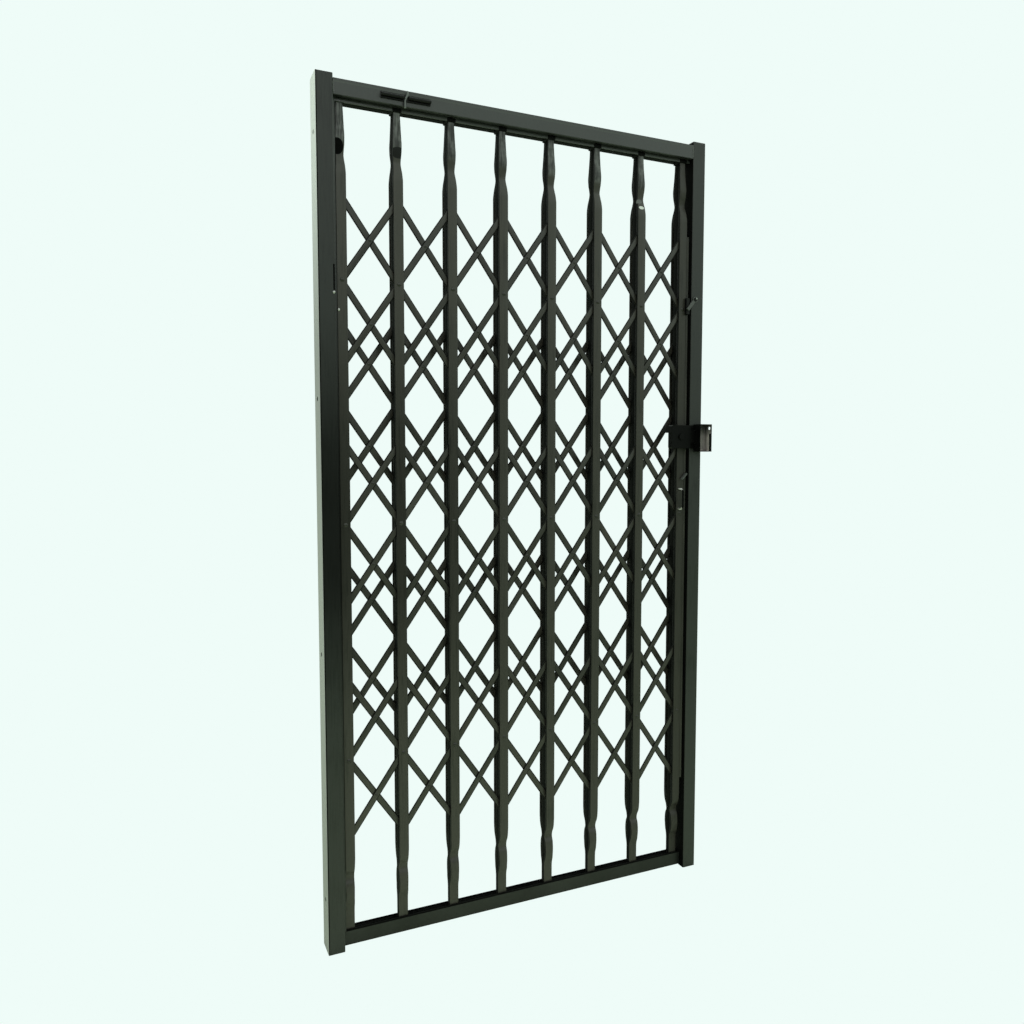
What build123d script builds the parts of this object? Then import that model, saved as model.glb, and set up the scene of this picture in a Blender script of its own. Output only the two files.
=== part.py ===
from build123d import *
from math import atan2, degrees, hypot, radians, sin
import os

os.makedirs("parts", exist_ok=True)

# Accordion (trellis) security gate in its steel frame, shut, in millimetres.
# X runs along the gate from the fixed side to the lock side, Y from the room side (front, -Y)
# to the far side, and Z up. The origin is the middle of the left post's outer side face.

# Posts at both sides
post_height = 2050.0
gate_width = 1065.0
post_face = 40.0
post_depth = 60.0
post_wall = 2.0
post_corner = 2.5
cap_thickness = 2.0
fixing_radius = 5.5
fixing_spacing = 600.0
fixing_count = 4
slot_width = 4.0
slot_height = 58.0
slot_level = 575.0
slot_inset = 1.5

# Tracks between the posts
top_track_height = 36.0
top_track_wall = 2.5
top_track_mouth = 26.0
top_track_drop = 10.0
low_track_height = 39.0
low_track_depth = 22.0
low_track_wall = 2.0
low_track_lift = 4.0

# Pickets: a tube with a shallow channel on its front and its rear, all pressed narrow near both
# ends. A layer of lattice lies on each side of the tube, under the channels.
picket_count = 8
picket_width = 24.0
picket_depth = 42.0
picket_sheet = 1.6
channel_leg = 5.5
first_gap = 5.0
closing_gap = 4.5
end_seam = 0.3
top_waist_drop = 124.0
low_waist_lift = 126.0
top_track_entry = 20.0
low_track_entry = 24.0

# How a picket is pressed: distance past the waist towards its end, width and depth there
open_past = -75.0
closed_past = -45.0
top_neck = [(0.0, 18.6, 23.0), (40.0, 21.2, 34.5)]
low_neck = [(0.0, 24.0, 17.0), (34.0, 21.8, 34.0), (74.0, 24.5, 16.0)]
top_end_past = 112.0
top_end_width = 16.0
top_end_depth = 25.0
low_end_width = 24.0
low_end_depth = 15.0

# Lattice: scissor sets of flat bars, each bar two bays long. Odd sets lie in front of the tubes.
set_count = 5
lattice_top_drop = 213.0
lattice_low_lift = 229.0
half_rise = 193.5
bar_width = 16.0
bar_thickness = 3.0

# Rivets on which the bars turn, and the wheels in the top track
pin_radius = 3.2
pin_head_radius = 5.5
pin_head_height = 1.8
pin_clearance = 0.1
wheel_radius = 12.0
wheel_width = 7.0

# Lead stile on the last picket, that closes against the right post
stile_sheet = 2.0
stile_leg = 6.0
stile_overrun = 4.0

# Lock on the last picket
lock_level = 221.0
lock_height = 64.0
lock_width = 62.0
lock_depth = 18.0
lock_corner = 3.0
lock_past_stile = 2.0
lug_length = 18.0
lug_height = 18.0
cylinder_radius = 8.5
cylinder_reach = 4.0
bolt_height = 36.0
bolt_thickness = 5.0
bolt_clearance = 0.5
bolt_engagement = 10.0

# Keeper on the right post: an open box on a plate
keeper_plate = 3.0
keeper_level = 218.0
keeper_height = 76.0
keeper_width = 40.0
keeper_reach = 30.0
keeper_wall = 1.6
keeper_past_post = 14.0
keeper_hole_radius = 5.0
keeper_hole_drop = 11.0
keeper_hole_inset = 17.0
keeper_lip = 8.0
keeper_lip_height = 50.0

# Pull loop on the last picket
loop_rod = 5.0
loop_height = 56.0
loop_reach = 22.0
loop_bend = 8.0
loop_level = 48.0
loop_offset = 5.5

# Swinging hook on the right post, and the plate that it rests on
hook_level = 600.0
hook_inset = 11.5
hook_length = 38.0
hook_width = 9.0
hook_thickness = 4.0
hook_tilt = 50.0
hook_eye_radius = 8.0
rest_width = 10.0
rest_height = 44.0
rest_inset = 1.0
rest_above_tip = 10.0

# Barrel bolt on the front of the top track
catch_start = 149.0
catch_length = 120.0
catch_height = 14.0
catch_thickness = 3.0
catch_rod_radius = 3.5
catch_rod_gap = 12.0
catch_pin_radius = 2.5
catch_pin_height = 38.0
catch_pin_bend = 6.0
catch_pin_drop = 4.0

post_top = post_height / 2
front_face = -post_depth / 2
right_post_x = gate_width - post_face
top_track_top = post_top - top_track_drop
top_track_base = top_track_top - top_track_height
low_track_base = -post_top + low_track_lift
low_track_top = low_track_base + low_track_height
span = gate_width - 2 * post_face
half_depth = picket_depth / 2
tube_half = half_depth - channel_leg - 2 * bar_thickness
layer_middle = tube_half + bar_thickness
picket_travel = span - first_gap - picket_width - stile_leg - closing_gap
picket_pitch = picket_travel / (picket_count - 1)
first_x = post_face + first_gap + picket_width / 2
picket_xs = [first_x + picket_pitch * n for n in range(picket_count)]
top_waist = top_track_base - top_waist_drop
low_waist = low_track_top + low_waist_lift
lattice_top = top_track_base - lattice_top_drop
lattice_low = low_track_top + lattice_low_lift
set_spacing = (lattice_top - lattice_low - 2 * half_rise) / (set_count - 1)
set_levels = [lattice_top - half_rise - set_spacing * k for k in range(set_count)]
front_levels = set_levels[0::2]
rear_levels = set_levels[1::2]
wheel_z = top_track_base + top_track_wall + wheel_radius
last_right = picket_xs[-1] + picket_width / 2
stile_right = last_right + stile_leg


def save(part, name):
    """Label a finished piece and write its file."""
    part.label = name
    export_step(part, f"parts/{name}.step")


def post(name, x, hole_x, slotted):
    """A square steel tube, with fixing holes through its outer side."""
    with BuildPart() as tube:
        with BuildSketch(Plane.XY.offset(-post_top)):
            with Locations((x + post_face / 2, 0)):
                RectangleRounded(post_face, post_depth, post_corner)
                Rectangle(post_face - 2 * post_wall, post_depth - 2 * post_wall, mode=Mode.SUBTRACT)
        extrude(amount=post_height - cap_thickness)
        with BuildSketch(Plane.YZ.offset(hole_x)):
            with GridLocations(0, fixing_spacing, 1, fixing_count):
                Circle(fixing_radius)
        extrude(amount=post_wall, mode=Mode.SUBTRACT)
        if slotted:
            with BuildSketch(Plane.XZ.offset(-front_face)):
                with Locations((x + post_face - slot_inset - slot_width / 2, slot_level)):
                    Rectangle(slot_width, slot_height)
            extrude(amount=-post_wall, mode=Mode.SUBTRACT)
    save(tube.part, name)


def track(name, depth, height, wall, base, mouth, mouth_z):
    """A folded channel between the posts, open along a mouth in its lower or upper side."""
    with BuildPart() as channel:
        with BuildSketch(Plane.YZ.offset(post_face)):
            with Locations((0, base + height / 2)):
                Rectangle(depth, height)
                Rectangle(depth - 2 * wall, height - 2 * wall, mode=Mode.SUBTRACT)
            with Locations((0, mouth_z)):
                Rectangle(mouth, wall, mode=Mode.SUBTRACT)
        extrude(amount=span)
    save(channel.part, name)


def picket_stations():
    """From foot to top: height, width, half-depth, inner edge of the channels, half-depth of the tube."""
    stations = [(low_track_top - low_track_entry, low_end_width, low_end_depth)]
    stations += [(low_waist - past, width, depth) for past, width, depth in reversed(low_neck)]
    stations += [(low_waist - closed_past, picket_width, picket_depth)]
    stations += [(top_waist + closed_past, picket_width, picket_depth)]
    stations += [(top_waist + past, width, depth) for past, width, depth in top_neck]
    stations += [(z, top_end_width, top_end_depth)
                 for z in (top_waist + top_end_past, top_track_base + top_track_entry)]
    closed = [(z, width, depth / 2, depth / 4, depth / 4 - end_seam) for z, width, depth in stations]
    spread = [(z, picket_width, half_depth, half_depth - channel_leg, tube_half)
              for z in (low_waist - open_past, top_waist + open_past)]
    return sorted(closed + spread)


def channel_outline(x, side, width, outer, inner):
    """A shallow channel whose legs point at the tube; side is -1 for the front, 1 for the rear."""
    a = width / 2
    b = a - picket_sheet
    web = outer - picket_sheet
    corners = [(-a, inner), (-a, outer), (a, outer), (a, inner), (b, inner), (b, web), (-b, web), (-b, inner)]
    return [(x + px, side * py) for px, py in corners]


def picket(number, x):
    """The front channel of a picket in one file, and its tube and rear channel in another."""
    stations = picket_stations()
    with BuildPart() as front:
        for z, width, outer, inner, tube in stations:
            with BuildSketch(Plane.XY.offset(z)):
                with BuildLine():
                    Polyline(*channel_outline(x, -1, width, outer, inner), close=True)
                make_face()
        loft(ruled=True)
        with BuildSketch(Plane.XZ.offset(half_depth)):
            with Locations(*[(x, level) for level in front_levels]):
                RegularPolygon(pin_radius + pin_clearance, 6)
        extrude(amount=-channel_leg, mode=Mode.SUBTRACT)
    save(front.part, f"picket_{number}_front")

    with BuildPart() as rear:
        for wall, mode in ((0, Mode.ADD), (picket_sheet, Mode.SUBTRACT)):
            for z, width, outer, inner, tube in stations:
                with BuildSketch(Plane.XY.offset(z)):
                    with Locations((x, 0)):
                        Rectangle(width - 2 * wall, 2 * (tube - wall))
            loft(ruled=True, mode=mode)
        for z, width, outer, inner, tube in stations:
            with BuildSketch(Plane.XY.offset(z)):
                with BuildLine():
                    Polyline(*channel_outline(x, 1, width, outer, inner), close=True)
                make_face()
        loft(ruled=True)
        for side, levels in ((1, front_levels), (-1, rear_levels)):
            with BuildSketch(Plane.XZ.offset(side * half_depth)):
                with Locations(*[(x, level) for level in levels]):
                    RegularPolygon(pin_radius + pin_clearance, 6)
            extrude(amount=side * (tube_half - picket_sheet - half_depth), mode=Mode.SUBTRACT)
    save(rear.part, f"picket_{number}_rear")


def scissor_bars(name, level, slope, middle_y):
    """All bars of one set that lean the same way, on one side of the plane at middle_y.

    A full bar turns on the picket at its middle; the outermost two are half as long.
    """
    angle = degrees(atan2(slope * half_rise, picket_pitch))
    with BuildPart() as bars:
        with BuildSketch(Plane.XZ.offset(-middle_y)):
            for n, x in enumerate(picket_xs):
                left = picket_xs[max(n - 1, 0)]
                right = picket_xs[min(n + 1, picket_count - 1)]
                middle = (left + right) / 2
                length = hypot(right - left, half_rise * (right - left) / picket_pitch)
                height = level + slope * half_rise * (middle - x) / picket_pitch
                with Locations(Location((middle, height, 0), angle)):
                    Rectangle(length + bar_width, bar_width)
            with Locations(*[(x, level) for x in picket_xs]):
                RegularPolygon(pin_radius + pin_clearance, 6, mode=Mode.SUBTRACT)
        extrude(amount=slope * bar_thickness)
    save(bars.part, name)


# Posts, their caps and the two tracks
post("left_post", 0, 0, True)
post("right_post", right_post_x, gate_width - post_wall, False)

with BuildPart() as post_caps:
    with BuildSketch(Plane.XY.offset(post_top - cap_thickness)):
        with Locations((post_face / 2, 0), (right_post_x + post_face / 2, 0)):
            RectangleRounded(post_face, post_depth, post_corner)
    extrude(amount=cap_thickness)
save(post_caps.part, "post_caps")

track("top_track", post_depth, top_track_height, top_track_wall, top_track_base,
      top_track_mouth, top_track_base + top_track_wall / 2)
track("bottom_track", low_track_depth, low_track_height, low_track_wall, low_track_base,
      low_track_depth - 2 * low_track_wall, low_track_top - low_track_wall / 2)

# Pickets, and the lattice sets in front of and behind their tubes by turns
for number, x in enumerate(picket_xs, 1):
    picket(number, x)

for number, level in enumerate(set_levels, 1):
    middle_y = -layer_middle if level in front_levels else layer_middle
    scissor_bars(f"rising_bars_{number}", level, 1, middle_y)
    scissor_bars(f"falling_bars_{number}", level, -1, middle_y)

# Rivets that the bars turn on, from the channel's face into the tube
with BuildPart() as pivot_rivets:
    for side, levels in ((1, front_levels), (-1, rear_levels)):
        points = [(x, level) for x in picket_xs for level in levels]
        with BuildSketch(Plane.XZ.offset(side * half_depth)):
            with Locations(*points):
                RegularPolygon(pin_radius, 6)
        extrude(amount=side * (tube_half - picket_sheet - half_depth))
        with BuildSketch(Plane.XZ.offset(side * half_depth)):
            with Locations(*points):
                RegularPolygon(pin_head_radius, 6)
        extrude(amount=side * pin_head_height)
save(pivot_rivets.part, "pivot_rivets")

# Wheels on both sides of each moving picket's top; the first picket stays by its post
with BuildPart() as top_wheels:
    for side in (-1, 1):
        with BuildSketch(Plane.XZ.offset(side * top_end_depth / 2)):
            with Locations(*[(x, wheel_z) for x in picket_xs[1:]]):
                RegularPolygon(wheel_radius, 12, major_radius=False, rotation=15)
        extrude(amount=side * wheel_width)
save(top_wheels.part, "top_wheels")

# Lead stile: a straight channel on the last picket's right side, open towards the post
stile_low = lattice_low - stile_overrun
stile_top = lattice_top + stile_overrun
with BuildPart() as lead_stile:
    with BuildSketch(Plane.XY.offset(stile_low)):
        with Locations((last_right + stile_leg / 2, 0)):
            Rectangle(stile_leg, picket_depth)
        with Locations((last_right + stile_sheet + stile_leg / 2, 0)):
            Rectangle(stile_leg, picket_depth - 2 * stile_sheet, mode=Mode.SUBTRACT)
    extrude(amount=stile_top - stile_low)
save(lead_stile.part, "lead_stile")

# Lock case with its cylinder, and the bolt that it throws into the keeper
lock_right = stile_right + lock_past_stile
lock_x = lock_right - lock_width / 2
keeper_right = gate_width + keeper_past_post
keeper_left = keeper_right - keeper_width
keeper_x = keeper_right - keeper_width / 2
bolt_back = -front_face + keeper_plate + bolt_clearance
with BuildPart() as lock_case:
    with BuildSketch(Plane.XZ.offset(half_depth)) as outline:
        with Locations((lock_x, lock_level)):
            Rectangle(lock_width, lock_height)
        chamfer(outline.vertices(), lock_corner)
        with Locations((lock_right - lock_width, lock_level + lock_height / 2 - lock_corner)):
            Rectangle(2 * lug_length, lug_height, align=(Align.CENTER, Align.MAX))
        with Locations((lock_x, lock_level)):
            RegularPolygon(cylinder_radius, 16, mode=Mode.SUBTRACT)
    extrude(amount=lock_depth)
save(lock_case.part, "lock_case")

with BuildPart() as lock_cylinder:
    with BuildSketch(Plane.XZ.offset(half_depth)):
        with Locations((lock_x, lock_level)):
            RegularPolygon(cylinder_radius, 16)
    extrude(amount=lock_depth + cylinder_reach)
save(lock_cylinder.part, "lock_cylinder")

with BuildPart() as lock_bolt:
    with BuildSketch(Plane.XZ.offset(bolt_back)):
        with Locations((lock_right, lock_level)):
            Rectangle(keeper_left + bolt_engagement - lock_right, bolt_height,
                      align=(Align.MIN, Align.CENTER))
    extrude(amount=bolt_thickness)
save(lock_bolt.part, "lock_bolt")

# Keeper: its plate on the post, and the open box that the bolt enters from the left
with BuildPart() as keeper:
    with BuildSketch(Plane.XZ.offset(-front_face)):
        with Locations((keeper_x, keeper_level)):
            Rectangle(keeper_width, keeper_height)
            Rectangle(keeper_width - 2 * keeper_wall, keeper_height - 2 * keeper_wall, mode=Mode.SUBTRACT)
    extrude(amount=keeper_reach)
    with BuildSketch(Plane.XZ.offset(-front_face)):
        with Locations(((right_post_x + keeper_left) / 2, lock_level)):
            Rectangle(keeper_left - right_post_x, lock_height)
        with Locations((keeper_x, keeper_level)):
            Rectangle(keeper_width, keeper_height)
    extrude(amount=keeper_plate)
    with BuildSketch(Plane.YZ.offset(keeper_left)):
        with Locations((-bolt_back - bolt_thickness / 2, lock_level)):
            Rectangle(bolt_thickness + 2 * bolt_clearance, bolt_height + 2 * bolt_clearance)
    extrude(amount=keeper_wall, mode=Mode.SUBTRACT)
    with BuildSketch(Plane.YZ.offset(keeper_right - keeper_wall)):
        with Locations((front_face - keeper_plate - keeper_hole_inset,
                        keeper_level + keeper_height / 2 - keeper_hole_drop)):
            RegularPolygon(keeper_hole_radius, 12)
    extrude(amount=keeper_wall, mode=Mode.SUBTRACT)
    with BuildSketch(Plane.XZ.offset(keeper_reach - front_face - keeper_wall)):
        with Locations((keeper_right, keeper_level - keeper_height / 2)):
            Rectangle(keeper_lip, keeper_lip_height, align=(Align.MAX, Align.MIN))
    extrude(amount=keeper_wall)
save(keeper.part, "keeper")

# Pull loop of bent rod below the lock
loop_x = picket_xs[-1] - loop_offset
loop_low = loop_level - loop_height / 2
loop_high = loop_level + loop_height / 2
loop_front = -half_depth - loop_reach
with BuildPart() as pull_loop:
    with BuildLine():
        Polyline((loop_x, -half_depth, loop_low), (loop_x, loop_front + loop_bend, loop_low),
                 (loop_x, loop_front, loop_low + loop_bend), (loop_x, loop_front, loop_high - loop_bend),
                 (loop_x, loop_front + loop_bend, loop_high), (loop_x, -half_depth, loop_high))
    with BuildSketch(Plane.XZ.offset(half_depth)):
        with Locations((loop_x, loop_low)):
            RegularPolygon(loop_rod / 2, 8)
    sweep(transition=Transition.RIGHT)
save(pull_loop.part, "pull_loop")

# Hook that swings on a stud in the right post, and the block that it rests on
hook_x = right_post_x + hook_inset
with BuildPart() as hook:
    with BuildSketch(Plane.XZ.offset(-front_face)):
        with Locations(Location((hook_x, hook_level, 0), hook_tilt)):
            Rectangle(hook_length, hook_width, align=(Align.MAX, Align.CENTER))
        with Locations((hook_x, hook_level)):
            RegularPolygon(hook_eye_radius, 12)
            RegularPolygon(pin_radius + pin_clearance, 6, mode=Mode.SUBTRACT)
    extrude(amount=hook_thickness)
save(hook.part, "hook")

with BuildPart() as hook_stud:
    with BuildSketch(Plane.XZ.offset(-front_face)):
        with Locations((hook_x, hook_level)):
            RegularPolygon(pin_radius, 6)
    extrude(amount=hook_thickness)
    with BuildSketch(Plane.XZ.offset(hook_thickness - front_face)):
        with Locations((hook_x, hook_level)):
            RegularPolygon(pin_head_radius, 12)
    extrude(amount=pin_head_height)
save(hook_stud.part, "hook_stud")

hook_tip_z = hook_level - hook_length * sin(radians(hook_tilt))
with BuildPart() as hook_rest:
    with BuildSketch(Plane.XZ.offset(half_depth)):
        with Locations((stile_right - rest_inset - rest_width / 2, hook_tip_z + rest_above_tip)):
            Rectangle(rest_width, rest_height)
    extrude(amount=-front_face - half_depth)
save(hook_rest.part, "hook_rest")

# Barrel bolt on the top track: a plate, two rods and a bent pin between them
catch_z = top_track_base + top_track_height / 2
catch_face = front_face - catch_thickness
catch_x = catch_start + catch_length / 2
with BuildPart() as catch_plate:
    with BuildSketch(Plane.XZ.offset(-front_face)):
        with Locations((catch_x, catch_z)):
            Rectangle(catch_length, catch_height)
    extrude(amount=catch_thickness)
save(catch_plate.part, "catch_plate")

rod_length = (catch_length - catch_rod_gap) / 2
with BuildPart() as catch_rods:
    for start in (catch_start, catch_start + catch_length - rod_length):
        with BuildSketch(Plane.YZ.offset(start)):
            with Locations((catch_face - catch_rod_radius, catch_z)):
                RegularPolygon(catch_rod_radius, 8, major_radius=False, rotation=22.5)
        extrude(amount=rod_length)
save(catch_rods.part, "catch_rods")

pin_y = catch_face - catch_pin_radius
pin_low = catch_z - catch_pin_drop - catch_pin_height / 2
with BuildPart() as catch_pin:
    with BuildLine():
        Polyline((catch_x - catch_pin_bend / 2, pin_y, pin_low),
                 (catch_x - catch_pin_bend / 2, pin_y, catch_z - catch_pin_bend),
                 (catch_x + catch_pin_bend / 2, pin_y, catch_z + catch_pin_bend),
                 (catch_x + catch_pin_bend / 2, pin_y, pin_low + catch_pin_height))
    with BuildSketch(Plane.XY.offset(pin_low)):
        with Locations((catch_x - catch_pin_bend / 2, pin_y)):
            RegularPolygon(catch_pin_radius, 8, major_radius=False, rotation=22.5)
    sweep(transition=Transition.RIGHT)
save(catch_pin.part, "catch_pin")
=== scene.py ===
import bpy
import numpy as np
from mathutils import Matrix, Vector


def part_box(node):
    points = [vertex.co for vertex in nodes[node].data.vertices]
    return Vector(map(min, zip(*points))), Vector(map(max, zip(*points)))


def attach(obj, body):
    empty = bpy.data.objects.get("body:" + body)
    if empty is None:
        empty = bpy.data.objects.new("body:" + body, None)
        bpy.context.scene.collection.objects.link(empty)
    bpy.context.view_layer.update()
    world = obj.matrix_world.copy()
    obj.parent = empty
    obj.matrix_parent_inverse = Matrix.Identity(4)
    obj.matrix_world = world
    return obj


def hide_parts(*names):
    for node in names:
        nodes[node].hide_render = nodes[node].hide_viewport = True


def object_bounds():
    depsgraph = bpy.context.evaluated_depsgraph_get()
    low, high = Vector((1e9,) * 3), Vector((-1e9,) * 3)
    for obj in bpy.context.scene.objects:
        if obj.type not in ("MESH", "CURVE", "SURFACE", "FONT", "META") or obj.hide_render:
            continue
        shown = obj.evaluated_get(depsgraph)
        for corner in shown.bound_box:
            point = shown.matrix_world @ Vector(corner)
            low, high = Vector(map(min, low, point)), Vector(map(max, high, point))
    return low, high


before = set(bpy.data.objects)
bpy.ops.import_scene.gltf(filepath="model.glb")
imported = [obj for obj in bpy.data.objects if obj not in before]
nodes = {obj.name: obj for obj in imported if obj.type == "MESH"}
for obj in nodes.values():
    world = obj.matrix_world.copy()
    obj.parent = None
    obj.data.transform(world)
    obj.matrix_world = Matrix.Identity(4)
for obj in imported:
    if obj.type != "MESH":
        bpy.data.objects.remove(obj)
cad_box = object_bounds()

# Posts: two rectangular steel tubes, sprayed charcoal, screwed to the sides of the doorway. The paint
# is thin and slightly uneven, with a fine orange peel. Painted shade lies half way up the left post,
# down its outer corner and on the right post's inner side, and a painted highlight down the left
# post's inner corner. Their outer sides are bare galvanised steel, painted lighter towards the top.


class Signal:
    """One output in a material's tree. Arithmetic on it adds Math nodes, and make() adds any other node."""

    def __init__(self, tree, socket=None):
        self.tree = tree
        self.socket = socket

    def make(self, kind, settings=None, sockets=None, output=0):
        """A node of that kind: its settings first, then the values or links of its sockets."""
        node = self.tree.nodes.new(kind)
        for key, value in (settings or {}).items():
            setattr(node, key, value)
        for key, value in (sockets or {}).items():
            if isinstance(value, Signal):
                self.tree.links.new(value.socket, node.inputs[key])
            else:
                node.inputs[key].default_value = value
        return Signal(self.tree, node.outputs[output])

    def maths(self, operation, *values):
        """A Math node on these values, in order."""
        return self.make("ShaderNodeMath", {"operation": operation}, dict(enumerate(values)))

    def feed(self, node, key):
        """Links this output to a socket of a node that is already there."""
        self.tree.links.new(self.socket, node.inputs[key])

    def __add__(self, other):
        return self.maths("ADD", self, other)

    def __sub__(self, other):
        return self.maths("SUBTRACT", self, other)

    def __rsub__(self, other):
        return self.maths("SUBTRACT", other, self)

    def __mul__(self, other):
        return self.maths("MULTIPLY", self, other)

    def __lt__(self, limit):
        return self.maths("LESS_THAN", self, limit)

    def __gt__(self, limit):
        return self.maths("GREATER_THAN", self, limit)

    def __abs__(self):
        return self.maths("ABSOLUTE", self)

    __radd__ = __add__
    __rmul__ = __mul__


def grey(value, warmth=0.0):
    """A nearly neutral colour: warmth above 0 leans to brown, below 0 to green."""
    return (value * (1 + 0.5 * warmth), value, value * (1 - 0.6 * abs(warmth)), 1.0)


def noise(place, scale, detail=2.0):
    """Soft cloudy values from 0 to 1 at that many cycles a metre."""
    return place.make("ShaderNodeTexNoise", None, {
        "Vector": place, "Scale": scale, "Detail": detail, "Roughness": 0.5})


def drawn_out(place, share):
    """The place with its height multiplied by the share, which draws a pattern out into upright streaks."""
    return place.make("ShaderNodeMapping", None, {"Vector": place, "Scale": (1.0, 1.0, share)})


def blend(share, first, second):
    """The first colour where the share is 0, the second where it is 1."""
    return share.make("ShaderNodeMix", {"data_type": "RGBA"}, {0: share, 6: first, 7: second}, output=2)


def new_material(name):
    """A material with its tree, its shader and the place of each point of its surface."""
    material = bpy.data.materials.new(name)
    material.use_nodes = True
    tree = material.node_tree
    place = Signal(tree).make("ShaderNodeTexCoord", output=3)
    return material, tree, tree.nodes["Principled BSDF"], place


def lay_over(tree, shader, place, over):
    """Ends a material: its shader with other finishes laid over it, in order.

    over lists (mask, finish): a function of the place that gives 1 where the finish lies, and the
    sockets of that finish, or a function of the place that gives them.
    """
    surface = Signal(tree, shader.outputs[0])
    for mask, finish in over:
        sockets = finish(place) if callable(finish) else finish
        other = place.make("ShaderNodeBsdfPrincipled", None, sockets)
        surface = place.make("ShaderNodeMixShader", None, {0: mask(place), 1: surface, 2: other})
    surface.feed(tree.nodes["Material Output"], "Surface")


def charcoal_paint(name, dark, light, rough, streak=0.2, rounding=0.0012, over=(), gloss=0.5):
    """Sprayed satin paint: cloudy tone between two charcoals, orange peel, and thin upright streaks.

    rounding is the radius that sheared edges show, 0 where the mesh is already round, and over is
    what lies over the paint, as in lay_over.
    """
    material, tree, shader, place = new_material(name)
    shader.inputs["Specular IOR Level"].default_value = gloss
    cloud = noise(place, 7.0, 3.0)
    fine = noise(place, 160.0, 3.0)
    run = noise(drawn_out(place, 0.05), 300.0)
    tone = cloud * 0.6 + run * streak + fine * 0.15
    spread = place.make("ShaderNodeMapRange", None, {0: tone, 1: 0.28, 2: 0.7})
    blend(spread, dark, light).feed(shader, "Base Color")
    roughness = rough + (cloud - 0.5) * 0.2 + (run - 0.5) * 0.25
    roughness.feed(shader, "Roughness")
    peel = noise(place, 420.0) * 0.6 + fine * 0.4
    bump = {"Strength": 0.25, "Distance": 0.0004, "Height": peel}
    if rounding:
        bump["Normal"] = place.make("ShaderNodeBevel", {"samples": 4}, {"Radius": rounding})
    place.make("ShaderNodeBump", None, bump).feed(shader, "Normal")
    lay_over(tree, shader, place, over)
    return material


def dress(node, material):
    """Gives a node of the gate its finish."""
    nodes[node].data.materials.clear()
    nodes[node].data.materials.append(material)


def part_of(place, axis):
    """One coordinate of a place, 0 for x, 1 for y and 2 for z."""
    return place.make("ShaderNodeSeparateXYZ", None, {0: place}, output=axis)


def below(axis, limit):
    """A mask that is 1 where the coordinate is under the limit."""
    return lambda place: part_of(place, axis) < limit


def above(axis, limit):
    """A mask that is 1 where the coordinate is over the limit."""
    return lambda place: part_of(place, axis) > limit


def ramp(value, low, high):
    """0 below low and 1 above high, with a soft step between."""
    return value.make("ShaderNodeMapRange", {"interpolation_type": "SMOOTHSTEP"}, {0: value, 1: low, 2: high})


def half_way_up(place):
    """1 about half way up the gate, falling to 0 half a metre above and below."""
    height = part_of(place, 2)
    return ramp(height, -0.5, -0.05) * (1 - ramp(height, 0.05, 0.55))


def shaded_middle(place):
    """Painted shade, up to 0.75 about half way up the post."""
    return 0.75 * half_way_up(place)


def corner_line(place):
    """A painted highlight down the post's inner corner, fading out below its head."""
    return 0.6 * ramp(part_of(place, 2), 0.45, 0.95) * (part_of(place, 0) > left_high.x - line_width)


def galvanised_and_light(place):
    """Bare zinc-coated steel with painted light, brighter towards the top of the post."""
    height = part_of(place, 2)
    share = 0.16 * ramp(height, -1.0, -0.2) + 0.75 * ramp(height, 0.35, 1.0)
    return {"Base Color": blend(share, (0.27, 0.255, 0.27, 1.0), (0.98, 0.93, 1.0, 1.0)), "Roughness": 0.55}


left_low, left_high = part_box("left_post")
right_low, right_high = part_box("right_post")
skin = 0.0006
post_corner = 0.003
line_width = 0.0024
# The near-black finish below is painted shade, and the grey after it is a painted highlight.
painted_shade = {"Base Color": grey(0.002), "Roughness": 0.8, "Specular IOR Level": 0.08}
painted_highlight = {"Base Color": grey(0.07, -0.08), "Roughness": 0.4}
frame_dark = grey(0.001, -0.1)
frame_light = grey(0.022, -0.08)
# Left post: painted shade half way up and down its outer corner, a painted highlight down its inner  corner,
# galvanised outer side. Right post: painted shade on its inner side, galvanised outer side.
left_light_and_zinc = [(shaded_middle, painted_shade), (corner_line, painted_highlight), (below(0, left_low.x + post_corner), painted_shade),
             (below(0, left_low.x + skin), galvanised_and_light)]
right_shade_and_zinc = [(below(0, right_low.x + skin), painted_shade), (above(0, right_high.x - skin), galvanised_and_light)]
left_paint = charcoal_paint("left_paint", frame_dark, frame_light, rough=0.4, streak=0.6, rounding=0,
                            over=left_light_and_zinc)
right_paint = charcoal_paint("right_paint", frame_dark, grey(0.026, -0.08), rough=0.4, streak=0.75,
                             rounding=0, over=right_shade_and_zinc)
dress("left_post", left_paint)
dress("right_post", right_paint)
dress("post_caps", left_paint)

# Tracks: a folded channel overhead that carries the wheels, and a low one that guides the feet. Both
# are of sheet steel in the posts' own paint. The top one is painted lighter than the posts, as painted
# light, with a painted highlight under its upper fold and painted shade on the rear of its underside;
# the low one has painted shade along its top.
track_low, track_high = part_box("top_track")
guide_top_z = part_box("bottom_track")[1].z
# Painted shade lies along the low track's top, this far down from it.
shade_band = 0.0045
fold_start = 0.0048
fold_end = 0.0088


def rear_underside(place):
    """Painted shade: 1 on the rear half of the top track's underside, 0.15 on its front half, 0 elsewhere."""
    under = part_of(place, 2) < track_low.z + skin
    return under * (0.15 + 0.85 * (part_of(place, 1) > 0.0))


def folded_edge(place):
    """1 on a thin line under the top track's upper fold, where a highlight is painted."""
    drop = track_high.z - part_of(place, 2)
    return (drop > fold_start) * (drop < fold_end)


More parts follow.
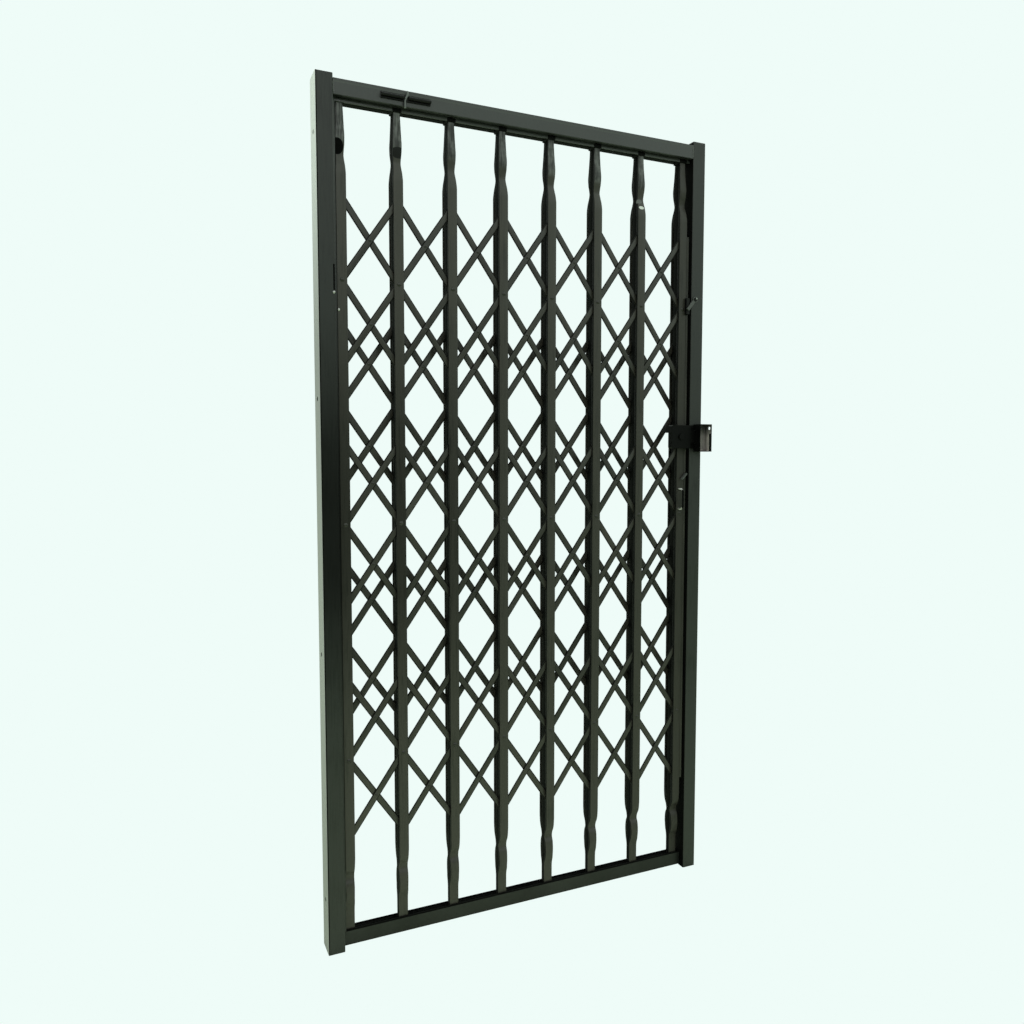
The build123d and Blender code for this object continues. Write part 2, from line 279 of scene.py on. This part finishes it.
# The top track's paint is lighter than the posts': painted light.
top_paint = charcoal_paint("top_paint", grey(0.01, -0.1), grey(0.035, -0.08), rough=0.36, rounding=0.0025,
                           over=[(folded_edge, painted_highlight), (rear_underside, painted_shade)], gloss=0.85)
low_paint = charcoal_paint("low_paint", frame_dark, frame_light, rough=0.42, streak=0.15, rounding=0.0015,
                           over=[(above(2, guide_top_z - shade_band), painted_shade)])
dress("top_track", top_paint)
dress("bottom_track", low_paint)

# Hangers: a black moulded block on each folding picket's head, just under the track, keeps it square
# to the track's mouth. Its black also stands for the shade under the track's flange, as painted shade.
# The wheels above are of the same dark nylon.


def grid_mesh(name, parts):
    """One mesh of several parts, each a grid of rows of a closed section with flat ends."""
    points = []
    faces = []
    for rows in parts:
        count, around = rows.shape[:2]
        index = len(points) + np.arange(count * around).reshape(count, around)
        turned = np.roll(index, -1, axis=1)
        faces += np.stack([index[:-1], turned[:-1], turned[1:], index[1:]], axis=-1).reshape(-1, 4).tolist()
        faces += [index[0][::-1].tolist(), index[-1].tolist()]
        points += rows.reshape(-1, 3).tolist()
    mesh = bpy.data.meshes.new(name)
    mesh.from_pydata(points, [], faces)
    mesh.update()
    piece = bpy.data.objects.new(name, mesh)
    bpy.context.collection.objects.link(piece)
    return piece


def smooth(piece, degrees=35.0):
    """Shades the piece smooth except across edges sharper than that."""
    mesh = piece.data
    mesh.polygons.foreach_set("use_smooth", np.ones(len(mesh.polygons), bool))
    mesh.set_sharp_from_angle(angle=np.radians(degrees))
    return piece


def finish_piece(piece, material, slot, *stands_for):
    """Dresses a piece, fixes it to the gate, and hides the nodes that it stands for."""
    piece.data.materials.append(material)
    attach(piece, "root")
    if stands_for:
        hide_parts(*stands_for)


def round_box(low, high, radius, turns=4):
    """Rows of a rounded rectangle across x and y, one above the other from low to high.

    Each row is four quarter circles about the corners' centres. Near the foot and the top a row is
    drawn in along a quarter circle of the same radius, so that all edges are round.
    """
    low = np.array(low)
    high = np.array(high)
    turn = np.linspace(0, np.pi / 2, turns)
    foot_lift = radius * (1 - np.cos(turn))
    lift = np.concatenate([foot_lift, (high[2] - low[2]) - foot_lift[::-1]])
    foot_drawn = radius * (1 - np.sin(turn))
    drawn = np.concatenate([foot_drawn, foot_drawn[::-1]])
    angle = np.concatenate([turn, turn + np.pi / 2, turn + np.pi, turn + 1.5 * np.pi])
    corner_x = np.repeat([1, -1, -1, 1], turns)
    corner_y = np.repeat([1, 1, -1, -1], turns)
    half = (high[:2] - low[:2]) / 2
    middle = (high[:2] + low[:2]) / 2
    reach = radius - np.minimum(drawn, 0.999 * radius)
    x = middle[0] + corner_x * (half[0] - radius) + reach[:, None] * np.cos(angle)
    y = middle[1] + corner_y * (half[1] - radius) + reach[:, None] * np.sin(angle)
    return np.stack([x, y, np.repeat((low[2] + lift)[:, None], len(angle), axis=1)], axis=-1)


def middle_x(node):
    """Half way between a node's left and right."""
    low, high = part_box(node)
    return (low.x + high.x) / 2


picket_middles = [middle_x(f"picket_{number}_front") for number in range(1, 9)]
hanger_half_width = 0.0112
hanger_half_depth = 0.0165
hanger_drop = 0.0095
hanger_gap = 0.0003
hanger_round = 0.002
hanger_boxes = [round_box((x - hanger_half_width, -hanger_half_depth, track_low.z - hanger_drop),
                          (x + hanger_half_width, hanger_half_depth, track_low.z - hanger_gap), hanger_round)
                for x in picket_middles[1:]]
# The hangers' black nylon also stands for painted shade under the track's flange.
nylon = charcoal_paint("nylon", grey(0.002), grey(0.004), rough=0.7, streak=0.1, rounding=0, gloss=0.12)
dress("top_wheels", nylon)
finish_piece(smooth(grid_mesh("hangers", hanger_boxes)), nylon, "dark_nylon")

# Lip: a narrow steel strip welded under the track's front flange, along the whole mouth. It hides the
# wheels and is painted with the frame, a little lighter as painted light.
lip_front_y = -0.0153
lip_rear_y = -0.0128
lip_drop = 0.009
lip_round = 0.001
lip_box = round_box((track_low.x, lip_front_y, track_low.z - lip_drop),
                    (track_high.x, lip_rear_y, track_low.z), lip_round)
lip_paint = charcoal_paint("lip_paint", grey(0.02, -0.1), grey(0.05, -0.08), rough=0.36, rounding=0,
                           gloss=0.8)
finish_piece(smooth(grid_mesh("track_lip", [lip_box])), lip_paint, "charcoal_paint")

# Pickets: a steel tube with a shallow pressed channel along its front and its rear, drawn in
# together at a waist near both ends and swelling again past it. The two slots carry the lattice.
sheet = 0.0016
corner = 0.0014
least_bend = 0.0005
leg = 0.0055
slot_width = 0.006
seam = 0.0003
spread_start = 0.046
spread_length = 0.02
core_corner = 0.003
core_clearance = 0.0004
top_waist = 0.855
low_waist = -0.856
picket_low, picket_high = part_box("picket_2_front")
last_picket_x = 0.95

# Distance past the waist towards the end, width and depth there
top_shape = [(-0.06, 0.024, 0.042), (-0.045, 0.024, 0.042), (-0.024, 0.0215, 0.037),
             (-0.012, 0.0195, 0.0295), (0.0, 0.0186, 0.023), (0.012, 0.0198, 0.026), (0.024, 0.0212, 0.031),
             (0.04, 0.0212, 0.0345), (0.06, 0.0198, 0.0315), (0.084, 0.0186, 0.027),
             (0.108, 0.0165, 0.0258), (0.144, 0.0158, 0.025)]
low_shape = [(-0.056, 0.024, 0.042), (-0.036, 0.0228, 0.041), (-0.024, 0.0222, 0.036),
             (-0.012, 0.0229, 0.023), (0.0, 0.024, 0.0165), (0.012, 0.0229, 0.0276), (0.024, 0.0226, 0.032),
             (0.036, 0.0218, 0.0343), (0.048, 0.022, 0.0317), (0.06, 0.0232, 0.0267),
             (0.072, 0.0243, 0.0178), (0.084, 0.0243, 0.015), (0.15, 0.024, 0.015)]


def sideways(place):
    """1 on faces that look along the gate, which the slots and the bars keep dark."""
    normal = place.make("ShaderNodeNewGeometry", output=1)
    return abs(part_of(normal, 0)) > 0.7


def near(point, reaches):
    """A mask that is 1 within an ellipsoid about a point."""
    shares = tuple(1 / reach for reach in reaches)
    middle = tuple(share * value for share, value in zip(shares, point))

    def mask(place):
        scaled = place.make("ShaderNodeVectorMath", {"operation": "MULTIPLY"}, {0: place, 1: shares})
        away = place.make("ShaderNodeVectorMath", {"operation": "DISTANCE"}, {0: scaled, 1: middle}, output=1)
        return away < 1.0

    return mask


def scuffed_head(place):
    """0.8 past the top waists, where the paint is scuffed, and 0 on the last picket."""
    past_waist = ramp(part_of(place, 2), top_waist + 0.02, top_waist + 0.035)
    return 0.8 * past_waist * (part_of(place, 0) < last_picket_x)


def shaded_lower(place):
    """Painted shade below the top quarter, more half way up near the left post, and more on the last picket.
    """
    along = part_of(place, 0)
    lower = 0.12 * (1 - ramp(part_of(place, 2), 0.35, 0.65))
    near_post = 0.42 * half_way_up(place) * (1 - ramp(along, 0.22, 0.5))
    return lower + near_post + 0.16 * (along > last_picket_x)


def scuffs(place):
    """Pale streaks along the picket, in patches."""
    streaks = noise(drawn_out(place, 0.12), 260.0, 3.0)
    share = ramp(streaks * 0.6 + noise(place, 40.0) * 0.5, 0.42, 0.72)
    return {"Base Color": blend(share, grey(0.015), grey(0.17)), "Roughness": 0.4}


def eased(at, stops, values):
    """Values between stops: a cubic on each stretch that meets the next one at the same slope.

    The slope at a stop is the harmonic mean of the rises of the stretches beside it, and 0 where
    the values turn back and at both ends.
    """
    place = np.clip(np.searchsorted(stops, at) - 1, 0, len(stops) - 2)
    length = stops[place + 1] - stops[place]
    share = np.clip((at - stops[place]) / length, 0, 1)
    rise = np.diff(values) / np.diff(stops)
    slope = np.zeros(len(stops))
    same = rise[:-1] * rise[1:] > 0
    slope[1:-1][same] = 2 * (rise[:-1] * rise[1:])[same] / (rise[:-1] + rise[1:])[same]
    first = (2 * share**3 - 3 * share**2 + 1) * values[place]
    leaving = (share**3 - 2 * share**2 + share) * length * slope[place]
    second = (3 * share**2 - 2 * share**3) * values[place + 1]
    arriving = (share**3 - share**2) * length * slope[place + 1]
    return first + leaving + second + arriving


def waisted(past, shape):
    """Width and depth at distances past a waist, eased between the rows of its shape."""
    stops, widths, depths = np.array(shape).T
    return np.array([eased(past, stops, widths), eased(past, stops, depths)])


def picket_profile():
    """Columns of height, width, depth, channel's inner edge and tube's half-depth, from foot to top.

    Rows lie close about both waists and far apart between them. The channels stand off the tube by
    the slot's width over the long middle, and close on it where the spread falls to 0.
    """
    stretches = [(picket_low.z, low_waist - 0.09, 5), (low_waist - 0.086, low_waist + 0.06, 42),
                 (low_waist + 0.075, top_waist - 0.075, 10), (top_waist - 0.06, top_waist + 0.09, 42),
                 (top_waist + 0.1, picket_high.z, 4)]
    heights = np.concatenate([np.linspace(*stretch) for stretch in stretches])
    upper = heights > 0
    past = np.where(upper, heights - top_waist, low_waist - heights)
    width, depth = np.where(upper, waisted(past, top_shape), waisted(past, low_shape))
    spread = np.clip((-past - spread_start) / spread_length, 0, 1)
    inner = spread * (depth / 2 - leg) + (1 - spread) * depth / 4
    tube = inner - seam - spread * (slot_width - seam)
    return [column[:, None] for column in (heights, width, depth, inner, tube)]


def bent_sheet(half, deep, inner, bend):
    """A U of sheet metal with its legs towards y = 0: the outside from leg tip to leg tip, then the inside.

    Each side of it is two straight legs, two quarter circles and the web between them, and the
    inside is the outside moved in by the sheet's thickness.
    """
    turn = np.linspace(0, np.pi / 2, 6)

    def side_of(half, deep, bend):
        """One side of the sheet, from leg tip to leg tip."""
        run = np.concatenate([-half, -half + bend - bend * np.cos(turn)], axis=1)
        rise = np.concatenate([inner, deep - bend + bend * np.sin(turn)], axis=1)
        return np.stack([np.concatenate([run, -run[:, ::-1]], axis=1),
                         np.concatenate([rise, rise[:, ::-1]], axis=1)], axis=-1)

    outside = side_of(half, deep, bend)
    inside = side_of(half - sheet, deep - sheet, np.maximum(bend - sheet, least_bend))
    return np.concatenate([outside, inside[:, ::-1]], axis=1)


def tube_section(half, deep, bend):
    """A rounded rectangle about the middle: a quarter circle in one corner, mirrored to the other three."""
    turn = np.linspace(0, np.pi / 2, 4)
    run = half - bend + bend * np.cos(turn)
    rise = deep - bend + bend * np.sin(turn)
    around_x = np.concatenate([run, -run[:, ::-1], -run, run[:, ::-1]], axis=1)
    around_y = np.concatenate([rise, rise[:, ::-1], -rise, -rise[:, ::-1]], axis=1)
    return np.stack([around_x, around_y], axis=-1)[:, ::-1]


def placed(section, x, side, heights):
    """Rows of a section moved to x, turned to the front (-1) or the rear (1)."""
    up = np.repeat(heights, section.shape[1], axis=1)
    points = np.stack([x + section[..., 0], side * section[..., 1], up], axis=-1)
    return points[:, ::-1] if side > 0 else points


picket_dark = grey(0.003, 0.25)
picket_light = grey(0.045, 0.25)
shaded = {"Base Color": grey(0.006), "Roughness": 0.7, "Specular IOR Level": 0.14}
# Faint painted shade, then a dim and a bright painted glint.
faint_shade = {"Base Color": grey(0.012), "Roughness": 0.6, "Specular IOR Level": 0.2}
dim_glint = {"Base Color": (0.12, 0.12, 0.115, 1.0), "Roughness": 0.4}
bright_glint = {"Base Color": (0.85, 0.85, 0.82, 1.0), "Roughness": 0.4}
# Painted shade on the first two pickets' heads, and two painted glints on the seventh picket's waist.
first_head_shade = near((0.051, -0.014, 0.8723), (0.014, 0.03, 0.0179))
second_head_shade = near((0.1945, -0.014, 0.8778), (0.018, 0.03, 0.0125))
seventh_head_glint = near((0.8624, -0.0118, 0.849), (0.0085, 0.008, 0.006))
seventh_waist_glint = near((0.8667, -0.0165, 0.832), (0.008, 0.008, 0.0045))
# On every picket: painted shade low down, on the first two heads and on faces along the gate, and pale
# scuffs past the top waists; the seventh picket also gets the two painted glints.
picket_wear_and_shade = [(shaded_lower, painted_shade), (scuffed_head, scuffs), (first_head_shade, painted_shade), (second_head_shade, faint_shade),
               (sideways, shaded)]
seventh_wear_and_glints = picket_wear_and_shade + [(seventh_head_glint, dim_glint), (seventh_waist_glint, bright_glint)]
picket_paint = charcoal_paint("picket_paint", picket_dark, picket_light, rough=0.4, streak=0.7, rounding=0,
                              over=picket_wear_and_shade)
glinting_paint = charcoal_paint("glinting_paint", picket_dark, picket_light, rough=0.4, streak=0.7, rounding=0,
                              over=seventh_wear_and_glints)
core_paint = charcoal_paint("core_paint", grey(0.005), grey(0.011), rough=0.5, streak=0.35, rounding=0,
                            over=[(sideways, painted_shade)])
heights, width, depth, inner, tube = picket_profile()
channel = bent_sheet(width / 2, depth / 2, inner, np.minimum(corner, 0.6 * (depth / 2 - inner)))
core = tube_section(width / 2 - core_clearance, tube, np.minimum(core_corner, 0.5 * tube))
for number, middle in enumerate(picket_middles, 1):
    front = grid_mesh(f"picket_{number}_front_channel", [placed(channel, middle, -1, heights)])
    front_paint = glinting_paint if number == 7 else picket_paint
    finish_piece(smooth(front), front_paint, "charcoal_paint", f"picket_{number}_front")
    rear = grid_mesh(f"picket_{number}_rear_channel", [placed(channel, middle, 1, heights)])
    finish_piece(smooth(rear), picket_paint, "charcoal_paint", f"picket_{number}_rear")
    inside = grid_mesh(f"picket_{number}_core", [placed(core, middle, -1, heights)])
    finish_piece(smooth(inside), core_paint, "charcoal_paint")

# Packer: a painted strip that fills the gap between the left post and the first picket, from the low
# track to the top one. The first picket is screwed to the post through it and doesn't move.
packer_half_depth = 0.0195
packer_lap = 0.0004
packer_round = 0.0008
packer_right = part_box("picket_1_front")[0].x + packer_lap
packer_box = round_box((left_high.x, -packer_half_depth, guide_top_z),
                       (packer_right, packer_half_depth, track_low.z), packer_round)
finish_piece(smooth(grid_mesh("first_picket_packer", [packer_box])), left_paint, "charcoal_paint")

# Lattice: flat steel bars with eased edges and round ends, two layers to a set, riveted where they
# cross and on every picket. Sets run by turns in the front slots and in the rear slots.
bar_low, bar_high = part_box("rising_bars_1")
bar_half = (bar_high.y - bar_low.y) / 2
bar_round = 0.008
half_rise = 0.1935
bay = picket_middles[1] - picket_middles[0]


def edgeways(place):
    """0.85 on a bar's sheared rims, where shade is painted, and 0 on its flat faces."""
    facet = place.make("ShaderNodeNewGeometry", output=3)
    return 0.85 * (abs(part_of(facet, 1)) < 0.995)


def flat_bar(foot, head, middle_y, half=bar_half, radius=bar_round):
    """Rows through a bar's thickness, each the outline of a strip from foot to head, given as (x, z).

    The outline is two straight sides and two half circles. Towards both faces the sides and the
    ends are drawn in by a share of the radius, which eases the rims.
    """
    along = np.subtract(head, foot)
    length = np.hypot(*along)
    along = along / length
    turn = np.linspace(-np.pi / 2, np.pi / 2, 7)
    run = np.concatenate([length + radius * np.cos(turn), -radius * np.cos(turn)])
    rise = np.concatenate([radius * np.sin(turn), -radius * np.sin(turn)])
    through = np.array([-1.0, -0.8, -0.35, 0.35, 0.8, 1.0])
    scale = 1 - np.array([0.28, 0.06, 0.0, 0.0, 0.06, 0.28])[:, None]
    run = np.where(run > length, length + (run - length) * scale, np.where(run < 0, run * scale, run))
    rise = rise * scale
    x = foot[0] + along[0] * run - along[1] * rise
    z = foot[1] + along[1] * run + along[0] * rise
    y = middle_y + half * through[:, None] + 0 * x
    return np.stack([x, y, z], axis=-1)[::-1]


bar_paint = charcoal_paint("bar_paint", grey(0.014, 0.3), grey(0.055, 0.3), rough=0.4, streak=0.1, rounding=0,
                           over=[(edgeways, painted_shade)], gloss=0.6)
set_levels = []
crossings = []
for number in range(1, 6):
    for slope, word in ((1, "rising"), (-1, "falling")):
        node = f"{word}_bars_{number}"
        low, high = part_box(node)
        level = (low.z + high.z) / 2
        middle_y = (low.y + high.y) / 2
        bars = []
        for index, x in enumerate(picket_middles):
            ends = (picket_middles[max(index - 1, 0)], picket_middles[min(index + 1, 7)])
            foot, head = ((end, level + slope * half_rise * (end - x) / bay) for end in ends)
            bars.append(flat_bar(foot, head, middle_y))
        finish_piece(smooth(grid_mesh(f"{node}_eased", bars)), bar_paint, "charcoal_paint", node)
    side = -1 if middle_y < 0 else 1
    set_levels.append((side, level))
    for x in picket_middles[:-1]:
        crossings += [(x + bay / 2, level + half * half_rise / 2, side) for half in (1, -1)]

# Rivets: low domed heads, painted over with the rest. Those on the pickets sit on the channels'
# faces, and those between the pickets hold two bars together.
picket_rivet = (0.0055, 0.002)
crossing_rivet = (0.0042, 0.0012)
half_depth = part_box("lead_stile")[1].y
slot_outer = half_depth - leg
slot_inner = slot_outer - slot_width


def dome(x, y, z, radius, height, side, around=10, rings=3):
    """Rows of a low dome on the plane y, bulging towards -y (side -1) or y (side 1).

    Each row is a circle, and from row to row its radius falls by a cosine and it rises by a sine.
    """
    fall = np.linspace(0, 0.96 * np.pi / 2, rings)
    angle = np.linspace(0, 2 * np.pi, around, endpoint=False) * -side
    ring = radius * np.cos(fall)[:, None]
    rise = y + side * height * np.sin(fall)[:, None]
    return np.stack([x + ring * np.cos(angle), rise + 0 * angle, z + ring * np.sin(angle)], axis=-1)


heads = [dome(x, side * half_depth, level, *picket_rivet, side)
         for side, level in set_levels for x in picket_middles]
for x, z, side in crossings:
    heads.append(dome(x, side * slot_outer, z, *crossing_rivet, side))
    heads.append(dome(x, side * slot_inner, z, *crossing_rivet, -side))
rivet_paint = charcoal_paint("rivet_paint", grey(0.01, 0.3), grey(0.04, 0.3), rough=0.35, streak=0.1,
                             rounding=0)
finish_piece(smooth(grid_mesh("rivet_heads", heads), 60.0), rivet_paint, "zinc_plate", "pivot_rivets")

# Lead stile and lock: a straight steel channel on the last picket, open towards the post, and a
# nearly black steel lock with its case, cylinder and bolt.
stile_paint = charcoal_paint("stile_paint", picket_dark, picket_light, rough=0.4, streak=0.35, rounding=0)
lock_paint = charcoal_paint("lock_paint", grey(0.002), grey(0.004), rough=0.5, streak=0.1, gloss=0.12)
dress("lead_stile", stile_paint)
for node in ("lock_case", "lock_cylinder", "lock_bolt"):
    dress(node, lock_paint)

# Keeper: an open box of folded steel on the right post. Its outside is as black as the lock, and its
# inside is bare steel with painted light, brightest low down and near the mouth.
keeper_low, keeper_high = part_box("keeper")
keeper_width = 0.040
keeper_left = keeper_high.x - keeper_width
keeper_sheet = 0.0019
keeper_rim = 0.0013


def inside_keeper(place):
    """1 in the keeper's open box, behind its rim."""
    x, y, z = (part_of(place, axis) for axis in range(3))
    across = abs(x - (keeper_left + keeper_high.x) / 2) < keeper_width / 2 - keeper_rim
    upright = abs(z - (keeper_low.z + keeper_high.z) / 2) < (keeper_high.z - keeper_low.z) / 2 - keeper_rim
    return across * upright * (y > keeper_low.y + keeper_sheet)


def bare_steel_and_light(place):
    """Bare steel inside the keeper, with painted light that is brightest low down and near the mouth."""
    low_down = ramp(part_of(place, 2), keeper_high.z - 0.006, keeper_low.z + 0.03)
    near_mouth = ramp(part_of(place, 1), keeper_high.y - 0.004, keeper_low.y + 0.012)
    share = (0.15 + 0.85 * low_down) * (0.4 + 0.6 * near_mouth) * (0.6 + 0.8 * noise(place, 110.0))
    return {"Base Color": blend(share, grey(0.03), (0.75, 0.67, 0.65, 1.0)), "Roughness": 0.5}


keeper_paint = charcoal_paint("keeper_paint", grey(0.002), grey(0.004), rough=0.5, streak=0.1, rounding=0,
                              over=[(inside_keeper, bare_steel_and_light)], gloss=0.12)
dress("keeper", keeper_paint)

# Barrel bolt at the top left: a black steel plate on the front of the top track with two rods end to
# end on it, and a bent pin of dull zinc across the gap between them.


def bare_metal(name, colour, rough, over=()):
    """Zinc-plated or plain steel with a cloudy roughness. over is what lies over it, as in lay_over."""
    material, tree, shader, place = new_material(name)
    shader.inputs["Metallic"].default_value = 1.0
    cloud = noise(place, 60.0, 3.0)
    dull = tuple(0.6 * value for value in colour[:3]) + (1.0,)
    blend(cloud, dull, colour).feed(shader, "Base Color")
    roughness = rough + (cloud - 0.5) * 0.3
    roughness.feed(shader, "Roughness")
    lay_over(tree, shader, place, over)
    return material


catch_paint = charcoal_paint("catch_paint", grey(0.002), grey(0.006), rough=0.45, streak=0.1, gloss=0.25)
for node in ("catch_plate", "catch_rods"):
    dress(node, catch_paint)
dress("catch_pin", bare_metal("dull_zinc", (0.2, 0.21, 0.2, 1.0), rough=0.4))

# Hook and pull loop: a steel hook that turns on a stud and lies on a black rest, and a bent wire loop
# to pull the gate by. The stud has one painted highlight, and the loop has painted shade on its side
# towards the room.
stud_low, stud_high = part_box("hook_stud")
# A painted highlight near the stud's top corner.
glint_inset = 0.0025
stud_glint = near((stud_high.x - glint_inset, stud_low.y, stud_high.z - glint_inset), (0.0022, 0.003, 0.0028))
glint_grey = {"Base Color": (0.45, 0.45, 0.44, 1.0), "Roughness": 0.4}
loop_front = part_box("pull_loop")[0].y + 0.0055
hook_paint = charcoal_paint("hook_paint", grey(0.07), grey(0.14), rough=0.4, streak=0.1)
stud_paint = charcoal_paint("stud_paint", grey(0.002), grey(0.005), rough=0.5, streak=0.1, rounding=0,
                            over=[(stud_glint, glint_grey)], gloss=0.2)
# Painted shade on the loop's front side, towards the room.
loop_steel = bare_metal("loop_steel", (0.85, 0.8, 0.82, 1.0), rough=0.35, over=[(below(1, loop_front), painted_shade)])
dress("hook", hook_paint)
dress("hook_stud", stud_paint)
dress("hook_rest", catch_paint)
dress("pull_loop", loop_steel)

# Loop bracket: a small steel tab with round ends that stands on the last picket above the pull loop,
# at about half a right angle. It is a little lighter than the paint beside it.
tab_foot = (1.0045, 0.1035)
tab_head = (1.0180, 0.1180)
tab_middle_y = -0.0258
tab_half = 0.0052
tab_round = 0.0026
bracket_paint = charcoal_paint("bracket_paint", grey(0.07), grey(0.13), rough=0.4, streak=0.1, rounding=0)
bracket = grid_mesh("loop_bracket", [flat_bar(tab_foot, tab_head, tab_middle_y, tab_half, tab_round)])
finish_piece(smooth(bracket, 50.0), bracket_paint, "charcoal_paint")

# Welds: a lumpy bead of weld metal up each corner between the top track and a post, painted over
# with the frame and a little lighter than it.
bead_radius = 0.0017
dab_length = 0.0034
bead_sway = 0.0006
bead_sink = 0.0008
bead_end = 0.004
bead_y = track_low.y + 0.0004


def weld_bead(x, y, z0, z1):
    """Rows of circles up an upright line.

    The radius swells and shrinks by a sine, once for each dab of the weld, and the line sways from
    side to side by a slower one.
    """
    height = np.linspace(z0, z1, 40)[:, None]
    angle = np.linspace(0, 2 * np.pi, 10, endpoint=False)[None, :]
    dab = (height - z0) / dab_length
    swell = bead_radius * (0.75 + 0.25 * np.abs(np.sin(np.pi * dab)))
    side = bead_sway * np.sin(0.575 * np.pi * dab)
    around_x = x + side + swell * np.cos(angle)
    around_y = y + swell * np.sin(angle)
    return np.stack([around_x, around_y, height + 0 * angle], axis=-1)


beads = [weld_bead(x, bead_y, track_low.z + bead_end, track_high.z - bead_end)
         for x in (left_high.x + bead_sink, right_low.x - bead_sink)]
finish_piece(smooth(grid_mesh("track_welds", beads), 60.0), hook_paint, "charcoal_paint")

# Slot screws: two small zinc-plated heads, one in the left post beside its slot and one in the first
# picket below it.
screw_places = [(0.036, -0.0300, 0.541), (0.048, -0.0210, 0.504)]
screw_head = (0.0032, 0.0018)
screws = grid_mesh("slot_screws", [dome(*place, *screw_head, -1) for place in screw_places])
zinc = bare_metal("zinc", (0.75, 0.72, 0.72, 1.0), rough=0.35)
finish_piece(smooth(screws, 60.0), zinc, "zinc_plate")

# Floor: a plain pale surface under the gate, like paper. Its own tone, which lights the gate from
# below, is darker far in front and at the lock side, and the camera sees one even colour instead.
floor_z = cad_box[0][2]
floor_reach = 30.0
paper = (0.863, 0.973, 0.939, 1.0)
floor_material, floor_tree, floor_shader, floor_place = new_material("floor_paper")
floor_shader.inputs["Roughness"].default_value = 0.9
floor_shader.inputs["Specular IOR Level"].default_value = 0.1
toward_room = ramp(part_of(floor_place, 1), -2.6, -0.1)
to_lock_side = ramp(part_of(floor_place, 0), 0.6, 1.1)
floor_tone = blend(toward_room * (1 - 0.45 * to_lock_side), (0.30, 0.38, 0.26, 1.0), (0.85, 0.95, 0.70, 1.0))
floor_tone.feed(floor_shader, "Base Color")
floor_seen = floor_place.make("ShaderNodeLightPath", output=0)
plain = floor_place.make("ShaderNodeEmission", None, {"Color": paper})
floor_surface = floor_place.make("ShaderNodeMixShader", None, {
    0: floor_seen, 1: Signal(floor_tree, floor_shader.outputs[0]), 2: plain})
floor_surface.feed(floor_tree.nodes["Material Output"], "Surface")
floor_mesh = bpy.data.meshes.new("floor")
floor_corners = [(x, y, floor_z) for x, y in ((-floor_reach, -floor_reach), (floor_reach, -floor_reach),
                                              (floor_reach, floor_reach), (-floor_reach, floor_reach))]
floor_mesh.from_pydata(floor_corners, [], [(0, 1, 2, 3)])
floor = bpy.data.objects.new("floor", floor_mesh)
bpy.context.collection.objects.link(floor)
floor.data.materials.append(floor_material)

# Light: a pale studio all round, brighter overhead, at the lock side and behind the gate, and one
# soft lamp in front. The camera sees the same paper colour behind the gate as on the floor.
world = bpy.data.worlds.new("studio")
bpy.context.scene.world = world
world.use_nodes = True
sky = Signal(world.node_tree)
seen = sky.make("ShaderNodeLightPath", output=0)
heading = sky.make("ShaderNodeTexCoord", output=0)
across, behind, up = (part_of(heading, axis) for axis in range(3))
lightness = 0.62 * ramp(up, 0.02, 0.4) + 0.42 * ramp(across, 0.2, 0.7) + 0.25 * ramp(behind, -0.2, 0.3)
studio = blend(lightness, (0.14, 0.17, 0.148, 1.0), (1.05, 1.22, 1.1, 1.0))
blend(seen, studio, paper).feed(world.node_tree.nodes["Background"], "Color")

lamp_place = Vector((-0.6, -3.0, 2.2))
lamp_aim = Vector((0.5, 0.0, 0.2))
lamp = bpy.data.lights.new("front_lamp", "AREA")
lamp.size = 1.6
lamp.energy = 12.0
lamp_holder = bpy.data.objects.new("front_lamp", lamp)
lamp_holder.location = lamp_place
lamp_holder.rotation_euler = (lamp_aim - lamp_place).to_track_quat("-Z", "Y").to_euler()
bpy.context.collection.objects.link(lamp_holder)

# Camera: at chest height, about two metres in front of the gate and out to the left of it, turned to
# the right and a little down, with a short lens.
lens_px = 820.41
photo_px = 1024
sensor_mm = 36.0
yaw = np.radians(24.31)
pitch = np.radians(-3.97)
camera = bpy.data.objects.new("camera", bpy.data.cameras.new("camera"))
camera.data.sensor_width = sensor_mm
camera.data.lens = sensor_mm * lens_px / photo_px
camera.location = (-0.37657, -1.92706, 0.17048)
gaze = Vector((np.sin(yaw) * np.cos(pitch), np.cos(yaw) * np.cos(pitch), np.sin(pitch)))
camera.rotation_euler = gaze.to_track_quat("-Z", "Y").to_euler()
bpy.context.collection.objects.link(camera)
bpy.context.scene.camera = camera
bpy.context.scene.view_settings.view_transform = "Standard"
